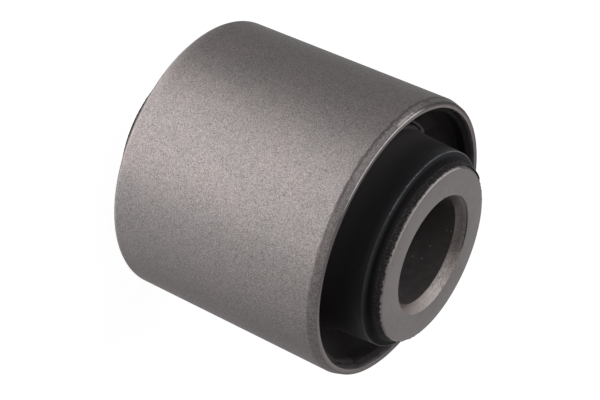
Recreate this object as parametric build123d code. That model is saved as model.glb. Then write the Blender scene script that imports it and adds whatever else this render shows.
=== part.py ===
from build123d import *
import math
import os

# Bonded suspension bush: a rubber moulding vulcanised between an outer and an inner steel sleeve.
# Millimetres. The axis is Z, the bush stands on the inner sleeve's lower end face, and the origin
# is the centre of that face. Both ends are alike, so each section is drawn from the middle of the
# length upwards and then mirrored.

# Outer sleeve: thin tube, pressed into the eye of the arm
outer_diameter = 42.0
outer_length = 35.0
outer_wall = 1.2
lead_in_length = 1.25
lead_in_depth = 0.4
mouth_edge_break = 0.1

# Inner sleeve: thick tube, clamped endwise by the bolt
inner_diameter = 26.4
inner_length = 46.0
bore_diameter = 16.2
countersink_diameter = 18.0
countersink_depth = 1.5
inner_edge_break = 0.25

# Rubber lining on the outer sleeve, set back from the sleeve's end
lining_thickness = 0.8
lining_setback = 0.75
lining_lip_chamfer = 0.3

# Rubber hub with its shoulder, set back from the inner sleeve's end
shoulder_thickness = 1.5
shoulder_setback = 2.05
shoulder_edge_chamfer = 0.35
hub_draft = 4.0

# Thin rubber skin on the neck between the shoulder and the inner sleeve's end
skin_thickness = 0.35
skin_setback = 0.5
skin_edge_chamfer = 0.15

# Ring-shaped recess between hub and lining, measured down from the outer sleeve's end
recess_depth = 6.0
flare_height = 2.0
flare_step = 0.6
flank_height = 2.2
flank_radius = 2.5

# What follows from these; heights are from the middle of the length
outer_radius = outer_diameter / 2
bond_radius = outer_radius - outer_wall
inner_radius = inner_diameter / 2
bore_radius = bore_diameter / 2
countersink_radius = countersink_diameter / 2
outer_end = outer_length / 2
inner_end = inner_length / 2

lining_radius = bond_radius - lining_thickness
lining_end = outer_end - lining_setback
skin_radius = inner_radius + skin_thickness
skin_end = inner_end - skin_setback
shoulder_radius = inner_radius + shoulder_thickness
shoulder_end = inner_end - shoulder_setback

floor_height = outer_end - recess_depth
flare_top = floor_height + flare_height
hub_foot_radius = shoulder_radius + (shoulder_end - flare_top) * math.tan(math.radians(hub_draft))
crease_radius = hub_foot_radius + flare_step
flank_top = floor_height + flank_height


def turned(outline):
    """Revolve the closed outline of the upper half and add its mirror image below."""
    upper = revolve(make_face(Plane.XZ * outline), axis=Axis.Z)
    whole = upper + mirror(upper, about=Plane.XY)
    return Pos(0, 0, inner_end) * whole.clean()


def outer_sleeve():
    """Tube with a long shallow lead-in chamfer outside and a broken edge at the mouth."""
    outline = Polyline(
        (bond_radius, 0),
        (bond_radius, outer_end - mouth_edge_break),
        (bond_radius + mouth_edge_break, outer_end),
        (outer_radius - lead_in_depth, outer_end),
        (outer_radius, outer_end - lead_in_length),
        (outer_radius, 0),
        close=True,
    )
    return turned(outline)


def inner_sleeve():
    """Thick tube, faced square at the ends, its bore countersunk for the bolt."""
    outline = Polyline(
        (bore_radius, 0),
        (bore_radius, inner_end - countersink_depth),
        (countersink_radius, inner_end),
        (inner_radius - inner_edge_break, inner_end),
        (inner_radius, inner_end - inner_edge_break),
        (inner_radius, 0),
        close=True,
    )
    return turned(outline)


def rubber_element():
    """One moulding: neck skin, shoulder, drafted hub, recess and lining in a single outline."""
    hub = Polyline(
        (inner_radius, 0),
        (inner_radius, skin_end),
        (skin_radius - skin_edge_chamfer, skin_end),
        (skin_radius, skin_end - skin_edge_chamfer),
        (skin_radius, shoulder_end),
        (shoulder_radius - shoulder_edge_chamfer, shoulder_end),
        (shoulder_radius, shoulder_end - shoulder_edge_chamfer),
        (hub_foot_radius, flare_top),
        (crease_radius, floor_height),
    )
    flank = FilletPolyline(
        hub @ 1,
        (lining_radius, flank_top),
        (lining_radius, lining_end - lining_lip_chamfer),
        radius=flank_radius,
    )
    lining = Polyline(
        flank @ 1,
        (lining_radius + lining_lip_chamfer, lining_end),
        (bond_radius, lining_end),
        (bond_radius, 0),
        hub @ 0,
    )
    return turned(hub + flank + lining)


nodes = {
    "outer_sleeve": outer_sleeve,
    "rubber_element": rubber_element,
    "inner_sleeve": inner_sleeve,
}

os.makedirs("parts", exist_ok=True)
for name, make in nodes.items():
    export_step(make(), f"parts/{name}.step")
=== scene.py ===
import math

import bmesh
import bpy
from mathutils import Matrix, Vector


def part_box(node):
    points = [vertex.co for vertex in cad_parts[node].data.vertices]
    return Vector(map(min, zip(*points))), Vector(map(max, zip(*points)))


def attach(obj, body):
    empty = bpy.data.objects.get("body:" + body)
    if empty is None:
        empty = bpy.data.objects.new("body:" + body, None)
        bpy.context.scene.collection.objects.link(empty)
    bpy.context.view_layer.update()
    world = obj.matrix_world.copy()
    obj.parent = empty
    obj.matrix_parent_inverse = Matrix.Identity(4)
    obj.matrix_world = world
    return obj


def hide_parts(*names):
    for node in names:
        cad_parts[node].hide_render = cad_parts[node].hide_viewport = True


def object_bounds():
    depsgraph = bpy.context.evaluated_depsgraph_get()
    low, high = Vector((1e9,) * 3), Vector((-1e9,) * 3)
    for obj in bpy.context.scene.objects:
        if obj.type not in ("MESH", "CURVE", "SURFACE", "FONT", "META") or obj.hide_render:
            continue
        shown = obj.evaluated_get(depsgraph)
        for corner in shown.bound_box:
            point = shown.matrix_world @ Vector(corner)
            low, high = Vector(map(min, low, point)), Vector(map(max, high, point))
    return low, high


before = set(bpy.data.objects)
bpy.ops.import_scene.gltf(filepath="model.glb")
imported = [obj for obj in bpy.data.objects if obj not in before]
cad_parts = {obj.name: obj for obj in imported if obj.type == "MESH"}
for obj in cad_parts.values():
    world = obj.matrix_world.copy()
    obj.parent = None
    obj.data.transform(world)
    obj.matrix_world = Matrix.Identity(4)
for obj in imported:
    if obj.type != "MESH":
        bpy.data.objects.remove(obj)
cad_low, cad_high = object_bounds()

# Bonded suspension bush, standing on its inner tube. Blender works in metres. Sizes here are in
# millimetres, heights are measured from the middle of the bush's length, and angles are in degrees:
# azimuth 0 is the side that faces the camera, and 90 is towards +X.
MM = 0.001
MIDDLE = (cad_low.z + cad_high.z) / 2
CENTRE = Vector((0, 0, MIDDLE))

# Main sizes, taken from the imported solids
outer_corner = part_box("outer_sleeve")[1]
inner_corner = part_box("inner_sleeve")[1]
OUTER_RADIUS = outer_corner.x / MM
OUTER_END = (outer_corner.z - MIDDLE) / MM
BOND_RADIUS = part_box("rubber_element")[1].x / MM
INNER_RADIUS = inner_corner.x / MM
INNER_END = (inner_corner.z - MIDDLE) / MM

# Outer tube's edges: a small chamfer at the mouth, and a lead-in that is shorter at the lower end
MOUTH = 0.06
RIM_DEPTH = 0.4
LEAD_IN = 1.25
LOWER_DEPTH = 0.20
LOWER_LEAD_IN = 0.36

# Inner tube: the bore, its countersink and the chamfer on the outer edge
BORE = 8.1
SINK = 9.0
SINK_DEPTH = 1.5
CORE_CHAMFER = 0.25

# Rubber moulding, from the torn film at the neck's end down the hub and up the lining
FILM_END = INNER_END - 0.24
FILM_BEVEL = 0.02
FILM_TIP = INNER_RADIUS + 0.06
FILM_BASE = INNER_RADIUS + 0.12
FILM_FOOT = INNER_END - 0.62
SKIN_RADIUS = 13.55
SKIN_END = INNER_END - 0.95
NECK_FOOT = INNER_END - 1.95
SHOULDER_RADIUS = 14.7
SHOULDER_END = INNER_END - 2.05
HUB_FOOT = 15.22
FLARE_TOP = OUTER_END - 4.0
CREASE_RADIUS = 15.82
FLOOR = OUTER_END - 6.0
LINING_RADIUS = 19.0
FLANK_TOP = OUTER_END - 3.8
LINING_END = OUTER_END - 0.75
LIP = 0.3

# Facets round the axis, strips across a rounded edge, and the sharpest edge that is shaded smooth
METAL_FACETS = 320
RUBBER_FACETS = 720
ROUNDING_STEPS = 5
SMOOTH_UP_TO = 40


# ---------------------------------------------------------------- turning

def level_at(height):
    """Blender's level for a height above the middle of the bush's length."""
    return MIDDLE + height * MM


def heading(azimuth):
    """Level direction of length 1 towards this azimuth."""
    turned = math.radians(azimuth)
    return (math.sin(turned), -math.cos(turned), 0)


def pick_ring(piece, radius, height):
    """Select the ring of edges that runs round the axis at this radius and height."""
    near = 0.002 * MM
    mesh = bmesh.from_edit_mesh(piece.data)
    bpy.ops.mesh.select_all(action="DESELECT")
    ring = set()
    for vertex in mesh.verts:
        off_radius = abs(vertex.co.xy.length - radius * MM)
        off_height = abs(vertex.co.z - MIDDLE - height * MM)
        if off_radius < near and off_height < near:
            ring.add(vertex)
    for edge in mesh.edges:
        if edge.verts[0] in ring and edge.verts[1] in ring:
            edge.select_set(True)
    bmesh.update_edit_mesh(piece.data)


def round_corner(piece, before, corner, after):
    """Round a corner of the section; the corners before and after it give its angle."""
    radius, height, rounding = corner
    arriving = math.atan2(height - before[1], radius - before[0])
    leaving = math.atan2(after[1] - height, after[0] - radius)
    bend = abs((leaving - arriving + math.pi) % math.tau - math.pi)
    pick_ring(piece, radius, height)
    bpy.ops.mesh.bevel(
        offset=rounding * MM * math.tan(bend / 2), segments=ROUNDING_STEPS, affect="EDGES"
    )


def turn(name, upper_corners, facets, lower_corners=None):
    """Turn a section: pull a ring from corner to corner, close it and round its corners. A corner is
    (radius, height, rounding). Both ends are alike unless the lower end has corners of its own."""
    if lower_corners is None:
        lower_corners = [(r, -h, rounding) for r, h, rounding in reversed(upper_corners)]
    corners = upper_corners + lower_corners
    radius, height, _ = corners[0]
    bpy.ops.object.select_all(action="DESELECT")
    bpy.ops.mesh.primitive_circle_add(
        vertices=facets, radius=radius * MM, location=(0, 0, level_at(height))
    )
    piece = bpy.context.object
    piece.name = name
    bpy.ops.object.transform_apply(location=True)
    bpy.ops.object.mode_set(mode="EDIT")
    bpy.ops.mesh.select_mode(type="EDGE")
    bpy.ops.mesh.select_all(action="SELECT")
    for (r0, h0, _), (r1, h1, _) in zip(corners, corners[1:]):
        bpy.ops.mesh.extrude_edges_move(TRANSFORM_OT_translate={"value": (0, 0, (h1 - h0) * MM)})
        bpy.ops.transform.resize(value=(r1 / r0, r1 / r0, 1))
    bpy.ops.mesh.select_all(action="DESELECT")
    bpy.ops.mesh.select_non_manifold()
    bpy.ops.mesh.bridge_edge_loops()
    for i, corner in enumerate(corners):
        rounding = corner[2]
        if rounding:
            round_corner(piece, corners[i - 1], corner, corners[(i + 1) % len(corners)])
    bpy.ops.mesh.select_all(action="SELECT")
    bpy.ops.mesh.normals_make_consistent(inside=False)
    bpy.ops.object.mode_set(mode="OBJECT")
    bpy.ops.object.shade_smooth_by_angle(angle=math.radians(SMOOTH_UP_TO))
    return piece


def finish_faces(piece, finishes, choose):
    """Give the piece its finishes; choose(radius, height) names the one that a face gets, with the
    height taken the same way at both ends."""
    names = list(finishes)
    for material in finishes.values():
        piece.data.materials.append(material)
    for face in piece.data.polygons:
        middle = face.center
        name = choose(middle.xy.length / MM, abs(middle.z - MIDDLE) / MM)
        face.material_index = names.index(name)


# ---------------------------------------------------------------- uneven surfaces

def patch(value, middle, half):
    """1 at the middle of a patch, falling to 0 at half its width."""
    return max(0.0, 1.0 - abs(value - middle) / half)


def zone(above, inner=0.0, outer=math.inf, side=None, half_width=0, sharpness=1):
    """Weight of a zone beyond a height and between two radii. With a side it is a patch on that side
    of the upper end; without one it runs all round at both ends."""
    def weight(radius, height, azimuth):
        reached = abs(height) if side is None else height
        if reached <= above or not inner < radius < outer:
            return 0.0
        if side is None:
            return 1.0
        return min(1.0, sharpness * patch(azimuth, side, half_width))
    return weight


def roughen(piece, name, weight, grain_size, depth, direction="NORMAL", rest=0.5):
    """Push the piece's surface by an uneven pattern, where weight(radius, height, azimuth) isn't 0."""
    group = piece.vertex_groups.new(name=name)
    for vertex in piece.data.vertices:
        place = vertex.co
        azimuth = math.degrees(math.atan2(place.x, -place.y))
        share = weight(place.xy.length / MM, (place.z - MIDDLE) / MM, azimuth)
        if share > 0:
            group.add([vertex.index], share, "REPLACE")
    pattern = bpy.data.textures.new(name, type="CLOUDS")
    pattern.noise_scale = grain_size * MM
    pattern.noise_depth = 3
    push = piece.modifiers.new(name, "DISPLACE")
    push.texture = pattern
    push.texture_coords = "LOCAL"
    push.vertex_group = name
    push.direction = direction
    push.strength = depth * MM
    push.mid_level = rest
    bpy.ops.object.select_all(action="DESELECT")
    bpy.context.view_layer.objects.active = piece
    bpy.ops.object.modifier_apply(modifier=push.name)


# ---------------------------------------------------------------- shader helpers

# Colour sockets of a Mix node, and the range that nearly all of a noise's values lie in
MIX_FACTOR = 0
MIX_BELOW = 6
MIX_ABOVE = 7
MIX_RESULT = 2
NOISE_LOW = 0.3
NOISE_HIGH = 0.7


def feed(tree, node, inputs):
    """Link each input that is another node's socket, and set each one that is a value."""
    for socket, value in dict(inputs).items():
        if isinstance(value, bpy.types.NodeSocket):
            tree.links.new(value, node.inputs[socket])
        else:
            node.inputs[socket].default_value = value
    return node


def add(tree, kind, inputs=(), **settings):
    """Add a node, set it up and feed its inputs."""
    made = tree.nodes.new(kind)
    for key, value in settings.items():
        setattr(made, key, value)
    return feed(tree, made, inputs)


def math_node(tree, operation, *values):
    return add(tree, "ShaderNodeMath", enumerate(values), operation=operation).outputs[0]


def plus(tree, a, b):
    return math_node(tree, "ADD", a, b)


def minus(tree, a, b):
    return math_node(tree, "SUBTRACT", a, b)


def times(tree, a, b):
    return math_node(tree, "MULTIPLY", a, b)


def larger(tree, a, b):
    return math_node(tree, "MAXIMUM", a, b)


def blend(tree, share, a, b):
    """Sum of two patterns: b has this share, and a has the rest."""
    return plus(tree, times(tree, a, 1 - share), times(tree, b, share))


def ramp(tree, value, low, high, to_low=0.0, to_high=1.0):
    """Remap a value smoothly from one range to another."""
    return add(tree, "ShaderNodeMapRange", {
        "Value": value, "From Min": low, "From Max": high, "To Min": to_low, "To Max": to_high,
    }, interpolation_type="SMOOTHSTEP").outputs["Result"]


def stretched(tree, pattern, to_low=0.0, to_high=1.0):
    """Remap a noise so that it fills a range."""
    return ramp(tree, pattern, NOISE_LOW, NOISE_HIGH, to_low, to_high)


def tint(tree, mask, below, above, mode="MIX"):
    """Mix two colours by a mask."""
    return add(tree, "ShaderNodeMix", {
        MIX_FACTOR: mask, MIX_BELOW: below, MIX_ABOVE: above,
    }, data_type="RGBA", blend_type=mode).outputs[MIX_RESULT]


def coated(tree, colour, coats):
    """Lay coats over a colour, one after the other; a coat is (mask, strength, colour)."""
    for mask, strength, coat in coats:
        if strength != 1:
            mask = times(tree, mask, strength)
        colour = tint(tree, mask, colour, coat)
    return colour


def noise(tree, place, size=None, scale=None, detail=2.0, roughness=0.5):
    """Uneven pattern whose features are about this size across, or that has this scale."""
    if scale is None:
        scale = 1 / (size * MM)
    return add(tree, "ShaderNodeTexNoise", {
        "Vector": place, "Scale": scale, "Detail": detail, "Roughness": roughness,
    }).outputs["Fac"]


def level_of(tree, place):
    return add(tree, "ShaderNodeSeparateXYZ", {"Vector": place}).outputs["Z"]


def from_middle(tree, level):
    """How far a level lies from the middle of the bush's length, up or down."""
    return math_node(tree, "ABSOLUTE", minus(tree, level, MIDDLE))


def round_axis(tree, place):
    """Split a place into its way out from the axis, its radius and its level."""
    parts = add(tree, "ShaderNodeSeparateXYZ", {"Vector": place}).outputs
    flat = add(tree, "ShaderNodeCombineXYZ", {"X": parts["X"], "Y": parts["Y"]}).outputs[0]
    radius = add(tree, "ShaderNodeVectorMath", {0: flat}, operation="LENGTH").outputs["Value"]
    return flat, radius, parts["Z"]


def bump(tree, height, depth):
    """Turn a height from 0 to 1 into a normal, for a relief of this depth."""
    return add(tree, "ShaderNodeBump", {"Height": height, "Distance": depth * MM}).outputs["Normal"]


def new_group(name, inputs, outputs):
    """Start an effect group; inputs are (name, kind, value) and outputs are names of values."""
    group = bpy.data.node_groups.new(name, "ShaderNodeTree")
    for label, kind, value in inputs:
        socket = group.interface.new_socket(label, in_out="INPUT", socket_type=kind)
        if value is not None:
            socket.default_value = value
    for label in outputs:
        group.interface.new_socket(label, in_out="OUTPUT", socket_type="NodeSocketFloat")
    entry = group.nodes.new("NodeGroupInput")
    leave = group.nodes.new("NodeGroupOutput")
    return group, entry.outputs, leave


def use_group(tree, group, inputs):
    made = tree.nodes.new("ShaderNodeGroup")
    made.node_tree = group
    return feed(tree, made, inputs).outputs


def new_material(name):
    """Start a material: its tree, its shader and the piece's own coordinates."""
    material = bpy.data.materials.new(name)
    material.use_nodes = True
    tree = material.node_tree
    tree.nodes.clear()
    shader = tree.nodes.new("ShaderNodeBsdfPrincipled")
    add(tree, "ShaderNodeOutputMaterial", {"Surface": shader.outputs[0]})
    place = tree.nodes.new("ShaderNodeTexCoord").outputs["Object"]
    return material, tree, shader, place


# ---------------------------------------------------------------- effects

FLOAT = "NodeSocketFloat"
VECTOR = "NodeSocketVector"


def make_grain():
    """Pitted grain: a height, a shade that is 0.5 on average, and lone bright and dark spots."""
    coarse_scale = 0.3
    coarse_share = 0.06
    cell_share = 0.55
    group, given, leave = new_group(
        "grain", [("Place", VECTOR, None), ("Size", FLOAT, 0.2 * MM)],
        ["Height", "Shade", "Bright", "Dark"],
    )
    scale = math_node(group, "DIVIDE", 1.0, given["Size"])
    fine = noise(group, given["Place"], scale=scale, roughness=0.8)
    coarse = noise(group, given["Place"], scale=times(group, scale, coarse_scale))
    height = blend(group, coarse_share, fine, coarse)
    cells = add(group, "ShaderNodeTexVoronoi", {"Vector": given["Place"], "Scale": scale})
    chance = add(group, "ShaderNodeSeparateColor", {"Color": cells.outputs["Color"]}).outputs
    centre = ramp(group, cells.outputs["Distance"], low=0.5, high=0.2)
    smooth = ramp(group, height, low=0.34, high=0.66)
    feed(group, leave, {
        "Height": height,
        "Shade": blend(group, cell_share, smooth, chance["Green"]),
        "Bright": times(group, ramp(group, chance["Red"], low=0.95, high=0.99), centre),
        "Dark": times(group, ramp(group, chance["Red"], low=0.08, high=0.03), centre),
    })
    return group


def make_turning_marks():
    """Fine grooves round the axis, uneven from groove to groove and a little broken along them."""
    sway_size = 4.0
    gap_size = 1.2
    group, given, leave = new_group(
        "turning_marks", [("Place", VECTOR, None), ("Pitch", FLOAT, 0.1 * MM)], ["Height"]
    )
    _, radius, level = round_axis(group, given["Place"])
    sway = noise(group, given["Place"], size=sway_size)
    travel = math_node(group, "DIVIDE", plus(group, radius, level), given["Pitch"])
    grooves = add(group, "ShaderNodeTexNoise", {
        "W": plus(group, travel, sway), "Scale": 1.0, "Detail": 2.0, "Roughness": 0.6,
    }, noise_dimensions="1D").outputs["Fac"]
    gaps = noise(group, given["Place"], size=gap_size)
    kept = ramp(group, gaps, low=0.2, high=0.6, to_low=0.6)
    feed(group, leave, {"Height": times(group, grooves, kept)})
    return group


def make_worn_and_lit_ring():
    """Mask along a ring round the axis, for wear and for painted light and shade: at both ends alike,
    broken unevenly and strongest on one side.
    """
    wander_size = 1.2
    gap_size = 0.5
    kept_near = 0.25
    soft_gap = 0.12
    full_side = 0.6
    group, given, leave = new_group("worn_and_lit_ring", [
        ("Place", VECTOR, None), ("Radius", FLOAT, 10 * MM), ("Height", FLOAT, 10 * MM),
        ("Reach", FLOAT, 0.5 * MM), ("Break", FLOAT, 0.5), ("Side", VECTOR, None),
        ("Spread", FLOAT, 1.0), ("Wander", FLOAT, 0.0),
    ], ["Mask"])
    flat, radius, level = round_axis(group, given["Place"])
    drift = minus(group, noise(group, given["Place"], size=wander_size, detail=3.0), 0.5)
    height = plus(group, from_middle(group, level), times(group, drift, given["Wander"]))
    across = math_node(group, "POWER", minus(group, radius, given["Radius"]), 2.0)
    along = math_node(group, "POWER", minus(group, height, given["Height"]), 2.0)
    away = math_node(group, "SQRT", plus(group, across, along))
    near = minus(group, 1.0, math_node(group, "DIVIDE", away, given["Reach"]))
    near = larger(group, near, 0.0)
    rough = noise(group, given["Place"], size=gap_size, detail=4.0, roughness=0.7)
    kept = plus(group, minus(group, rough, given["Break"]), times(group, near, kept_near))
    broken = ramp(group, kept, low=0.0, high=soft_gap)
    outward = add(group, "ShaderNodeVectorMath", {0: flat}, operation="NORMALIZE").outputs[0]
    facing = add(group, "ShaderNodeVectorMath", {
        0: outward, 1: given["Side"],
    }, operation="DOT_PRODUCT").outputs["Value"]
    inside = minus(group, facing, minus(group, 1.0, given["Spread"]))
    side = ramp(group, math_node(group, "DIVIDE", inside, given["Spread"]), low=0.0, high=full_side)
    feed(group, leave, {"Mask": times(group, times(group, near, broken), side)})
    return group


def make_specks():
    """Scattered specks: 1 inside a speck. Amount is the share of cells that hold one."""
    group, given, leave = new_group("specks", [
        ("Place", VECTOR, None), ("Size", FLOAT, 0.5 * MM), ("Amount", FLOAT, 0.1),
    ], ["Mask"])
    scale = math_node(group, "DIVIDE", 1.0, given["Size"])
    cells = add(group, "ShaderNodeTexVoronoi", {"Vector": given["Place"], "Scale": scale})
    chance = add(group, "ShaderNodeSeparateColor", {"Color": cells.outputs["Color"]}).outputs
    chosen = math_node(group, "LESS_THAN", chance["Green"], given["Amount"])
    centre = ramp(group, cells.outputs["Distance"], low=0.38, high=0.12)
    feed(group, leave, {"Mask": times(group, chosen, centre)})
    return group


grain = make_grain()
turning_marks = make_turning_marks()
worn_and_lit_ring = make_worn_and_lit_ring()
specks = make_specks()

# Spread of a ring mask that runs all round
ALL_ROUND = 2.0


def pitting(tree, place, size):
    return use_group(tree, grain, {"Place": place, "Size": size * MM})


def tool_marks(tree, place, pitch):
    return use_group(tree, turning_marks, {"Place": place, "Pitch": pitch * MM})["Height"]


def scattered(tree, place, size, amount):
    return use_group(tree, specks, {"Place": place, "Size": size * MM, "Amount": amount})["Mask"]


def wear_and_painted_light(tree, place, radius, height, reach, gaps, side=0, spread=ALL_ROUND, wander=0.0):
    """Mask round a ring, for wear and for painted light and shade: how far it reaches from it, how
    broken it is, the azimuth it is strongest at and how far round it spreads from there."""
    return use_group(tree, worn_and_lit_ring, {
        "Place": place, "Radius": radius * MM, "Height": height * MM, "Reach": reach * MM,
        "Break": gaps, "Side": heading(side), "Spread": spread, "Wander": wander * MM,
    })["Mask"]


# ---------------------------------------------------------------- finishes

def blasted_steel():
    """Blasted and phosphated tube: warm grey, matt, pitted and scuffed at the rim, with smears on the
    lead-in, and painted highlight and shade along its edges, mostly on one side.
    """
    deep_pit = (0.0465, 0.0422, 0.0416, 1)
    crest = (0.195, 0.176, 0.173, 1)
    cooler = (0.97, 0.98, 0.99, 1)
    warmer = (1.03, 1.01, 1.01, 1)
    black_spot = (0.030, 0.026, 0.026, 1)
    bright_fleck = (0.52, 0.48, 0.47, 1)
    lead_in_highlight = (0.30, 0.27, 0.265, 1)
    smear = (0.055, 0.048, 0.046, 1)
    lower_edge_highlight = (0.30, 0.28, 0.275, 1)
    cut_edge = (0.330, 0.295, 0.284, 1)
    scuffed_metal = (0.34, 0.31, 0.30, 1)
    rim_highlight = (0.74, 0.70, 0.68, 1)
    rim_edge_shade = (0.045, 0.040, 0.039, 1)
    sheen = (0.6, 0.6, 0.6, 1)

    material, tree, shader, place = new_material("blasted_phosphated_steel")
    pits = pitting(tree, place, size=0.11)
    clouds = noise(tree, place, size=7, detail=3.0)
    bare = tint(tree, pits["Shade"], deep_pit, crest)
    warmth = tint(tree, stretched(tree, clouds), cooler, warmer)
    toned = tint(tree, 1.0, bare, warmth, mode="MULTIPLY")

    level = level_of(tree, place)
    upper_end = ramp(tree, level, level_at(0), level_at(1), to_high=0.85)
    lower_end = ramp(tree, level, level_at(0), level_at(-1), to_high=0.45)
    on_lead_in = ramp(tree, level, level_at(OUTER_END - 1.3), level_at(OUTER_END - 1.1), to_high=0.4)
    streaks = noise(tree, place, size=0.45, detail=4.0, roughness=0.7)
    smears = times(tree, on_lead_in, ramp(tree, streaks, low=0.46, high=0.60))

    # Painted highlight on the upper lead-in and rim face, strongest towards azimuth -36
    lead_in_light = wear_and_painted_light(tree, place, OUTER_RADIUS - 0.22, OUTER_END - 0.6, reach=1.1, gaps=0.0,
                  side=-36, spread=0.12)
    crease = wear_and_painted_light(tree, place, OUTER_RADIUS - 0.05, OUTER_END - 1.08, reach=0.34, gaps=0.45,
                  side=-42, spread=0.35, wander=1.2)
    # Painted highlight round the lower end's edge, broad and strongest towards azimuth 10; lower_end
    # keeps it to the lower end at under half strength
    foot = wear_and_painted_light(tree, place, OUTER_RADIUS - 0.03, OUTER_END - 0.2, reach=0.4, gaps=0.25,
                side=10, spread=1.2)
    cut = wear_and_painted_light(tree, place, BOND_RADIUS, OUTER_END - 0.45, reach=0.9, gaps=0.2)
    scuff = wear_and_painted_light(tree, place, OUTER_RADIUS - 0.32, OUTER_END - 0.3, reach=0.36, gaps=0.52,
                 side=-47, spread=0.006)
    # Painted highlight along the rim's inner edge, strongest towards azimuth -34
    rim = wear_and_painted_light(tree, place, OUTER_RADIUS - 0.50, OUTER_END, reach=0.14, gaps=0.47,
               side=-34, spread=0.20)
    # Painted shade on the rim's outer edge towards azimuth -78, dimming its glint there
    shaded_rim_edge = wear_and_painted_light(tree, place, OUTER_RADIUS - 0.45, OUTER_END, reach=0.45, gaps=0.15,
                  side=-78, spread=0.10)
    colour = coated(tree, toned, [
        (pits["Dark"], 0.6, black_spot),
        (pits["Bright"], 0.3, bright_fleck),
        (lead_in_light, 0.2, lead_in_highlight),
        (smears, 1, smear),
        (times(tree, crease, upper_end), 1, smear),
        (times(tree, foot, lower_end), 1, lower_edge_highlight),
        (cut, 1, cut_edge),
        (scuff, 1, scuffed_metal),
        (rim, 1, rim_highlight),
        (shaded_rim_edge, 1, rim_edge_shade),
    ])
    feed(tree, shader, {
        "Base Color": colour,
        "Roughness": stretched(tree, pits["Height"], to_low=0.52, to_high=0.42),
        "Normal": bump(tree, pits["Height"], depth=0.04),
        "Metallic": 1.0,
        "Specular Tint": sheen,
    })
    return material


def painted_light_wall():
    """Inside wall of the outer tube, by its mouth: a pale matt grey that is painted light, fading darker
    towards the rubber.
    """
    by_rubber = (0.22, 0.19, 0.185, 1)
    by_mouth = (0.62, 0.56, 0.55, 1)
    blotch = (0.16, 0.14, 0.135, 1)
    fade_length = 0.8

    material, tree, shader, place = new_material("painted_light_wall_steel")
    clouds = noise(tree, place, size=2, detail=4.0, roughness=0.65)
    height = from_middle(tree, level_of(tree, place))
    # Painted light, palest at the mouth and darker towards the rubber
    outward = ramp(tree, height, (OUTER_END - fade_length) * MM, OUTER_END * MM)
    faded = tint(tree, outward, by_rubber, by_mouth)
    blotches = ramp(tree, clouds, low=0.35, high=0.7, to_high=0.5)
    feed(tree, shader, {
        "Base Color": tint(tree, blotches, faded, blotch),
        "Roughness": stretched(tree, clouds, to_low=0.75, to_high=0.6),
        "Metallic": 0.1,
        "Specular IOR Level": 0.2,
    })
    return material


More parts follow.
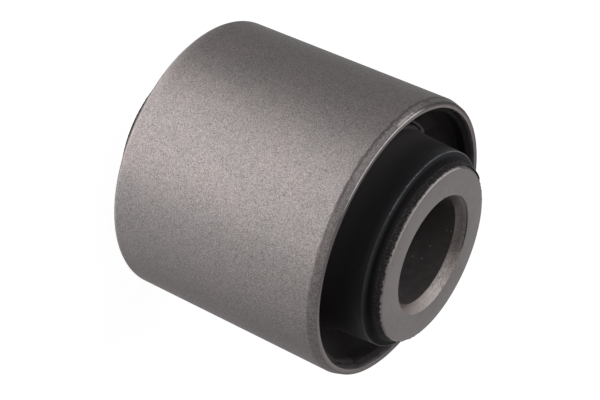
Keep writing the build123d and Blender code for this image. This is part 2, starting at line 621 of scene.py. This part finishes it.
def faced_steel(name, dark, light, metal, roughness, groove, pitch, streaks, mottle, sparkle,
                lean=0.0, sink_highlight_share=0.0, sink_shade_share=0.0):
    """Machined end of the inner tube: satin, with the tool's rings, a little dirt and a painted highlight
    along its outer edge. lean paints light on one side, sink_highlight_share paints a highlight on a
    stretch of the countersink and sink_shade_share paints shade on another."""
    sink_highlight = (0.36, 0.31, 0.29, 1)
    dirt_speck = (0.07, 0.06, 0.05, 1)
    bright_fleck = (0.45, 0.42, 0.40, 1)
    sink_shade_colour = (0.030, 0.026, 0.024, 1)
    edge_highlight = (0.46, 0.42, 0.40, 1)
    rubber_film = (0.020, 0.018, 0.017, 1)
    pit_share = 0.4
    roughness_swing = 0.05
    sink_ring = {"radius": 8.5, "height": INNER_END - 0.8, "reach": 3.0, "gaps": 0.0}

    material, tree, shader, place = new_material(name)
    marks = tool_marks(tree, place, pitch)
    pits = pitting(tree, place, size=0.12)
    clouds = noise(tree, place, size=4, detail=4.0, roughness=0.6)
    dirt = scattered(tree, place, size=0.9, amount=0.06)
    speckle = times(tree, minus(tree, pits["Shade"], 0.5), mottle)
    shade = plus(tree, blend(tree, streaks, clouds, marks), speckle)
    shade = ramp(tree, shade, low=0.36, high=0.64)
    # Painted light: one side of the face lighter, strongest towards azimuth -40
    if lean:
        lit = wear_and_painted_light(tree, place, radius=11, height=INNER_END, reach=12, gaps=0.0, side=-40)
        shade = blend(tree, lean, shade, lit)
    colour = tint(tree, shade, dark, light)
    # Painted highlight on a stretch of the countersink towards azimuth 112
    if sink_highlight_share:
        sink_highlight_mask = wear_and_painted_light(tree, place, side=112, spread=0.25, **sink_ring)
        colour = coated(tree, colour, [(sink_highlight_mask, sink_highlight_share, sink_highlight)])
    colour = coated(tree, colour, [
        (dirt, 0.4, dirt_speck),
        (pits["Bright"], sparkle, bright_fleck),
    ])
    # Painted shade on another stretch of the countersink towards azimuth -127
    if sink_shade_share:
        oil_tone_and_sink_shade = wear_and_painted_light(tree, place, side=-127, spread=0.45, **sink_ring)
        colour = coated(tree, colour, [(oil_tone_and_sink_shade, sink_shade_share, sink_shade_colour)])

    # Painted highlight along the outer edge of the end face, strongest towards azimuth -30
    edge = wear_and_painted_light(tree, place, INNER_RADIUS - 0.22, INNER_END - 0.02, reach=0.20, gaps=0.47,
                side=-30, spread=0.4)
    crumbs = wear_and_painted_light(tree, place, INNER_RADIUS - 0.02, INNER_END - 0.20, reach=0.42, gaps=0.70,
                  side=-36.87)
    flap = wear_and_painted_light(tree, place, INNER_RADIUS - 0.08, INNER_END - 0.12, reach=0.40, gaps=0.30,
                side=-98, spread=0.13)
    nicks = wear_and_painted_light(tree, place, SINK, INNER_END, reach=0.22, gaps=0.50, side=-127, spread=0.26)
    films = larger(tree, ramp(tree, crumbs, low=0.02, high=0.15), ramp(tree, flap, low=0.1, high=0.5))
    films = larger(tree, films, ramp(tree, nicks, low=0.1, high=0.4))
    rougher = roughness + roughness_swing
    smoother = roughness - roughness_swing
    feed(tree, shader, {
        "Base Color": coated(tree, colour, [(edge, 1, edge_highlight), (films, 1, rubber_film)]),
        "Roughness": stretched(tree, marks, to_low=rougher, to_high=smoother),
        "Normal": bump(tree, blend(tree, pit_share, marks, pits["Height"]), depth=groove),
        "Metallic": metal,
    })
    return material


def bore_steel():
    """Bore and bonded wall: dark, with a brown, oily film and a few bright specks."""
    dark = (0.108, 0.092, 0.091, 1)
    light = (0.165, 0.144, 0.143, 1)
    bright_speck = (0.42, 0.38, 0.37, 1)

    material, tree, shader, place = new_material("oiled_bore_steel")
    marks = tool_marks(tree, place, pitch=0.16)
    clouds = noise(tree, place, size=3, detail=4.0, roughness=0.65)
    oil_tone_and_sink_shade = tint(tree, stretched(tree, clouds), dark, light)
    bits = scattered(tree, place, size=0.5, amount=0.025)
    feed(tree, shader, {
        "Base Color": tint(tree, bits, oil_tone_and_sink_shade, bright_speck),
        "Roughness": stretched(tree, clouds, to_low=0.5, to_high=0.38),
        "Normal": bump(tree, marks, depth=0.01),
        "Metallic": 0.2,
    })
    return material


def moulded_rubber(name, skin, deep, roughness, sheen, relief, flecks=0.0):
    """Black moulded rubber: satin skin, a nicked lip and a flash fold. Painted light makes it lighter
    deeper in the recess, partly as dust; painted highlights and shade lie on the shoulder edge, the
    lip, the recess wall and the fold. flecks is how strongly pale crumbs show."""
    dust_speck = (0.06, 0.054, 0.05, 1)
    pale_crumb = (0.150, 0.135, 0.128, 1)
    shelf_light = (0.078, 0.081, 0.085, 1)
    edge_highlight = (0.30, 0.30, 0.31, 1)
    lighter_lip = (0.19, 0.168, 0.168, 1)
    nicked_lip = (0.30, 0.265, 0.27, 1)
    lip_shade = (0.030, 0.026, 0.027, 1)
    recess_wall_light = (0.26, 0.235, 0.235, 1)
    flare_light = (0.40, 0.365, 0.365, 1)
    fold_highlight = (0.90, 0.85, 0.84, 1)
    groove_shade = (0.085, 0.078, 0.078, 1)
    roughness_swing = 0.05
    shoulder_ring = {"radius": SHOULDER_RADIUS - 0.06, "height": SHOULDER_END - 0.02}

    material, tree, shader, place = new_material(name)
    lumps = noise(tree, place, size=0.3, detail=3.0, roughness=0.6)
    clouds = noise(tree, place, size=5, detail=3.0)
    height = from_middle(tree, level_of(tree, place))
    # Lighter deeper in the recess: partly dust, mostly painted light where shade falls
    inside = ramp(tree, height, (OUTER_END + 2.5) * MM, (OUTER_END - 3.0) * MM)
    dust = scattered(tree, place, size=0.6, amount=0.05)
    colour = coated(tree, tint(tree, inside, skin, deep), [(dust, 0.35, dust_speck)])
    if flecks:
        crumbs = noise(tree, place, size=0.22, detail=3.0, roughness=0.7)
        crumbs = ramp(tree, crumbs, low=0.51, high=0.63)
        colour = coated(tree, colour, [(crumbs, flecks, pale_crumb)])

    # Painted light on the shoulder's flat top, strongest towards azimuth -60
    shelf = wear_and_painted_light(tree, place, SHOULDER_RADIUS - 0.45, INNER_END - 2.0, reach=0.5, gaps=0.35, side=-60)
    # Painted highlight along the shoulder's rounded edge, strongest towards azimuth -55, with a thin
    # stretch towards -100 and a faint one over most of the way round
    edge = wear_and_painted_light(tree, place, reach=0.22, gaps=0.60, side=-55, spread=0.5, **shoulder_ring)
    far_edge = wear_and_painted_light(tree, place, reach=0.18, gaps=0.55, side=-100, spread=0.07, **shoulder_ring)
    soft_edge = wear_and_painted_light(tree, place, reach=0.28, gaps=0.4, side=-20, spread=1.5, **shoulder_ring)
    edges = larger(tree, larger(tree, edge, far_edge), times(tree, soft_edge, 0.25))
    # Lighter on the lining's lip, strongest towards azimuth 62
    lip = wear_and_painted_light(tree, place, LINING_RADIUS + 0.1, OUTER_END - 1.4, reach=1.0, gaps=0.2,
               side=62, spread=0.45)
    nick = wear_and_painted_light(tree, place, LINING_RADIUS + 0.4, OUTER_END - 1.1, reach=1.2, gaps=0.30,
                side=97, spread=0.016)
    # Painted shade on the lining's lip towards azimuth -130
    shaded_lip = wear_and_painted_light(tree, place, LINING_RADIUS + 0.2, OUTER_END - 1.0, reach=1.6, gaps=0.0,
                 side=-130, spread=0.5)
    # Painted light on the recess wall, strongest towards azimuth 72
    lit_recess_wall = wear_and_painted_light(tree, place, LINING_RADIUS - 0.2, OUTER_END - 3.6, reach=3.5, gaps=0.1,
                   side=72, spread=0.7)
    # Painted light on the hub's flaring foot towards azimuth -82, a stretch that lies in shade
    foot = wear_and_painted_light(tree, place, CREASE_RADIUS - 0.37, FLOOR + 1.1, reach=1.3, gaps=0.0,
                side=-82, spread=0.04)
    # Painted highlight along the flash fold, and painted shade in the groove beside it, towards azimuth
    # -98
    fold = wear_and_painted_light(tree, place, CREASE_RADIUS + 0.08, FLOOR + 0.40, reach=0.65, gaps=0.32,
                side=-98, spread=0.020)
    groove = wear_and_painted_light(tree, place, CREASE_RADIUS - 0.04, FLOOR + 0.45, reach=0.30, gaps=0.3,
                  side=-94, spread=0.010)
    colour = coated(tree, colour, [
        (shelf, 1, shelf_light),
        (edges, 1, edge_highlight),
        (lip, 1, lighter_lip),
        (nick, 1, nicked_lip),
        (ramp(tree, shaded_lip, low=0.0, high=0.4), 1, lip_shade),
        (lit_recess_wall, 0.7, recess_wall_light),
        (ramp(tree, foot, low=0.0, high=0.7), 1, flare_light),
        (ramp(tree, fold, low=0.0, high=0.5), 1, fold_highlight),
        (ramp(tree, groove, low=0.0, high=0.3), 1, groove_shade),
    ])
    rougher = roughness + roughness_swing
    smoother = roughness - roughness_swing
    feed(tree, shader, {
        "Base Color": colour,
        "Roughness": stretched(tree, clouds, to_low=rougher, to_high=smoother),
        "Normal": bump(tree, lumps, depth=relief),
        "Specular IOR Level": sheen,
    })
    return material


# ---------------------------------------------------------------- pieces

def make_outer_sleeve():
    def finish_at(radius, height):
        return "wall" if radius < BOND_RADIUS + 0.05 else "outside"

    sleeve = turn("outer_sleeve_tube", [
        (BOND_RADIUS, OUTER_END - MOUTH, 0),
        (BOND_RADIUS + MOUTH, OUTER_END, 0.04),
        (OUTER_RADIUS - RIM_DEPTH, OUTER_END, 0.15),
        (OUTER_RADIUS, OUTER_END - LEAD_IN, 1.2),
    ], METAL_FACETS, lower_corners=[
        (OUTER_RADIUS, -OUTER_END + LOWER_LEAD_IN, 0.5),
        (OUTER_RADIUS - LOWER_DEPTH, -OUTER_END, 0.08),
        (BOND_RADIUS + MOUTH, -OUTER_END, 0.04),
        (BOND_RADIUS, -OUTER_END + MOUTH, 0),
    ])
    finish_faces(sleeve, {"outside": blasted_steel(), "wall": painted_light_wall()}, finish_at)
    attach(sleeve, "root")
    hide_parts("outer_sleeve")


def make_inner_sleeve():
    def finish_at(radius, height):
        if height < INNER_END - SINK_DEPTH:
            return "bore"
        return "end" if radius > SINK else "countersink"

    sleeve = turn("inner_sleeve_tube", [
        (BORE, INNER_END - SINK_DEPTH, 0.15),
        (SINK, INNER_END, 0.05),
        (INNER_RADIUS - CORE_CHAMFER, INNER_END, 0.10),
        (INNER_RADIUS, INNER_END - CORE_CHAMFER, 0.10),
    ], METAL_FACETS)
    end = faced_steel(
        "faced_end_steel", dark=(0.142, 0.123, 0.118, 1), light=(0.190, 0.164, 0.158, 1),
        metal=0.5, roughness=0.42, groove=0.006, pitch=0.09, streaks=0.1, mottle=0.3, sparkle=0.12,
        lean=0.6,
    )
    countersink = faced_steel(
        "countersunk_steel", dark=(0.125, 0.109, 0.103, 1), light=(0.260, 0.225, 0.213, 1),
        metal=0.85, roughness=0.36, groove=0.018, pitch=0.26, streaks=0.5, mottle=0.6, sparkle=0.8,
        sink_highlight_share=0.5, sink_shade_share=0.8,
    )
    finish_faces(sleeve, {"end": end, "countersink": countersink, "bore": bore_steel()}, finish_at)
    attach(sleeve, "root")
    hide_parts("inner_sleeve")


def tear_rubber(moulding):
    """Rough up the moulding: crumbs and a torn flap of film at the neck's end, a wavy and nicked lip
    on the lining, and a flash fold at the foot of the hub."""
    film = FILM_FOOT + 0.05
    off_tube = INNER_RADIUS + 0.01
    flap = {"side": -98, "half_width": 16, "sharpness": 3}
    fold_radius = 16.05
    fold_half_width = 0.45
    fold_patch = zone(FLOOR - 0.5, side=-97, half_width=9, sharpness=3)

    def fold_ridge(radius, height, azimuth):
        return fold_patch(radius, height, azimuth) * patch(radius, fold_radius, fold_half_width)

    roughen(moulding, "torn_film", zone(film), grain_size=0.35, depth=0.37, direction="Z")
    roughen(moulding, "film_lumps", zone(SKIN_END - 0.1, inner=off_tube), grain_size=0.3, depth=0.10)
    roughen(moulding, "film_flap_height", zone(film, **flap),
            grain_size=5.0, depth=0.20, direction="Z", rest=0.0)
    roughen(moulding, "film_flap_body", zone(FILM_FOOT - 0.1, inner=off_tube, **flap),
            grain_size=5.0, depth=0.16, rest=0.0)
    roughen(moulding, "lip_waves", zone(LINING_END - 1.0, inner=LINING_RADIUS - 0.05),
            grain_size=3.0, depth=0.25, direction="Z")
    roughen(moulding, "lip_nick",
            zone(LINING_END - 1.4, inner=LINING_RADIUS - 0.2, outer=LINING_RADIUS + 0.7,
                 side=97, half_width=11, sharpness=4),
            grain_size=2.5, depth=0.6, rest=1.0)
    roughen(moulding, "flash_fold", fold_ridge, grain_size=0.7, depth=0.5, rest=-1.0)


def make_rubber():
    def finish_at(radius, height):
        if height > SKIN_END - 0.12:
            return "film"
        if height > SHOULDER_END + 0.02 and radius < SHOULDER_RADIUS - 0.3:
            return "neck"
        return "recess" if radius > HUB_FOOT + 0.1 else "skin"

    moulding = turn("rubber_moulding", [
        (INNER_RADIUS, FILM_END, 0),
        (FILM_TIP, FILM_END - FILM_BEVEL, 0.02),
        (FILM_BASE, FILM_FOOT, 0.3),
        (SKIN_RADIUS, SKIN_END, 0.3),
        (SKIN_RADIUS, NECK_FOOT, 0.5),
        (SHOULDER_RADIUS, SHOULDER_END, 0.14),
        (HUB_FOOT, FLARE_TOP, 4.0),
        (CREASE_RADIUS, FLOOR, 0.4),
        (LINING_RADIUS, FLANK_TOP, 2.5),
        (LINING_RADIUS, LINING_END - LIP, 0.2),
        (LINING_RADIUS + LIP, LINING_END, 0.2),
        (BOND_RADIUS, LINING_END, 0),
    ], RUBBER_FACETS)
    tear_rubber(moulding)
    # The deep colour and the recess rubber's colours are lighter than the hub's: partly dust, mostly
    # painted light in the shaded recess
    deep_recess_light = (0.112, 0.097, 0.096, 1)
    finish_faces(moulding, {
        "skin": moulded_rubber("moulded_rubber", (0.0156, 0.0158, 0.0172, 1),
                               (0.093, 0.083, 0.084, 1), roughness=0.45, sheen=0.07, relief=0.01),
        "recess": moulded_rubber("recess_rubber", (0.084, 0.073, 0.072, 1),
                                 deep_recess_light, roughness=0.65, sheen=0.05, relief=0.03),
        "neck": moulded_rubber("neck_rubber", (0.0215, 0.0192, 0.0205, 1),
                               deep_recess_light, roughness=0.7, sheen=0.035, relief=0.03),
        "film": moulded_rubber("film_rubber", (0.029, 0.0262, 0.0272, 1),
                               deep_recess_light, roughness=0.7, sheen=0.05, relief=0.06, flecks=0.46),
    }, finish_at)
    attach(moulding, "root")
    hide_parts("rubber_element")


make_outer_sleeve()
make_inner_sleeve()
make_rubber()


# ---------------------------------------------------------------- stage, light, camera

WHITE = (1, 1, 1, 1)

# Camera's place in millimetres, its turn about X, Y and Z in degrees, and its lens
CAMERA_PLACE = (0, -223.002, 138.589)
CAMERA_TURN = (-38.2099, -54.2467, 133.9832)
CAMERA_LENS = 103.617
SENSOR_WIDTH = 36


def seen_directly(tree):
    """1 for rays that come from the camera, a mirror or glass."""
    ray = tree.nodes.new("ShaderNodeLightPath").outputs
    seen = larger(tree, ray["Is Camera Ray"], ray["Is Glossy Ray"])
    return larger(tree, seen, ray["Is Transmission Ray"])


def make_floor():
    """Plain pale table, its size in metres: white to the eye, dimmed only where the bush shades it."""
    table_size = 12
    pale = (0.8, 0.8, 0.8, 1)
    mid_grey = (0.4, 0.4, 0.4, 1)
    glow_strength = 0.96
    bpy.ops.object.select_all(action="DESELECT")
    bpy.ops.mesh.primitive_plane_add(size=table_size)
    table = bpy.context.object
    table.name = "table_top"
    material = bpy.data.materials.new("pale_table")
    material.use_nodes = True
    tree = material.node_tree
    tree.nodes.clear()
    lit = add(tree, "ShaderNodeBsdfDiffuse", {"Color": pale})
    shade = add(tree, "ShaderNodeBsdfDiffuse", {"Color": mid_grey})
    glow = add(tree, "ShaderNodeEmission", {"Color": WHITE, "Strength": glow_strength})
    white = add(tree, "ShaderNodeAddShader", {0: shade.outputs[0], 1: glow.outputs[0]})
    mix = add(tree, "ShaderNodeMixShader", {
        0: seen_directly(tree), 1: lit.outputs[0], 2: white.outputs[0],
    })
    add(tree, "ShaderNodeOutputMaterial", {"Surface": mix.outputs[0]})
    table.data.materials.append(material)
    table.visible_shadow = False


def make_surroundings(strength):
    """Even light of this strength from all round, white to the eye."""
    world = bpy.data.worlds.new("studio_surroundings")
    world.use_nodes = True
    tree = world.node_tree
    tree.nodes.clear()
    even = add(tree, "ShaderNodeBackground", {"Color": WHITE, "Strength": strength})
    white = add(tree, "ShaderNodeBackground", {"Color": WHITE, "Strength": 1.0})
    mix = add(tree, "ShaderNodeMixShader", {
        0: seen_directly(tree), 1: even.outputs[0], 2: white.outputs[0],
    })
    add(tree, "ShaderNodeOutputWorld", {"Surface": mix.outputs[0]})
    bpy.context.scene.world = world


def make_softbox(name, azimuth, elevation, distance, width, height, level, colour=(1, 1, 1),
                 in_mirrors=True):
    """Soft lamp aimed at the bush, its distance and size in metres. A level of 1 shows a matt surface
    that faces it in its own colour. in_mirrors says whether shiny metal mirrors the lamp itself."""
    data = bpy.data.lights.new(name, "AREA")
    data.color = colour
    data.shape = "RECTANGLE"
    data.size = width
    data.size_y = height
    data.energy = level * (math.pi * distance) ** 2
    data.cycles.use_multiple_importance_sampling = in_mirrors
    lamp = bpy.data.objects.new(name, data)
    bpy.context.scene.collection.objects.link(lamp)
    rise = math.radians(elevation)
    way = Vector(heading(azimuth)) * math.cos(rise) + Vector((0, 0, math.sin(rise)))
    lamp.location = CENTRE + way * distance
    lamp.rotation_euler = way.to_track_quat("Z", "Y").to_euler()


def make_camera():
    """Long lens, above the upper end and rolled over, so that the bush seems to lie down."""
    data = bpy.data.cameras.new("camera")
    data.sensor_width = SENSOR_WIDTH
    data.lens = CAMERA_LENS
    camera = bpy.data.objects.new("camera", data)
    bpy.context.scene.collection.objects.link(camera)
    camera.location = Vector(CAMERA_PLACE) * MM
    camera.rotation_euler = [math.radians(turned) for turned in CAMERA_TURN]
    bpy.context.scene.camera = camera


make_floor()
make_surroundings(strength=0.05)
make_softbox("key_softbox", azimuth=0, elevation=-42, distance=1.2, width=1.8, height=0.9,
             level=2.05, colour=(1, 0.995, 0.985), in_mirrors=False)
make_softbox("top_softbox", azimuth=-70, elevation=42, distance=0.6, width=1.2, height=0.2,
             level=0.36, colour=(0.97, 1, 1.05))
make_softbox("side_softbox", azimuth=88, elevation=-40, distance=1.2, width=1.0, height=0.6,
             level=0.24, colour=(0.98, 1, 1.03), in_mirrors=False)
make_softbox("back_fill", azimuth=180, elevation=-20, distance=0.6, width=0.5, height=0.3,
             level=0.5)
make_camera()
bpy.context.scene.view_settings.view_transform = "Standard"
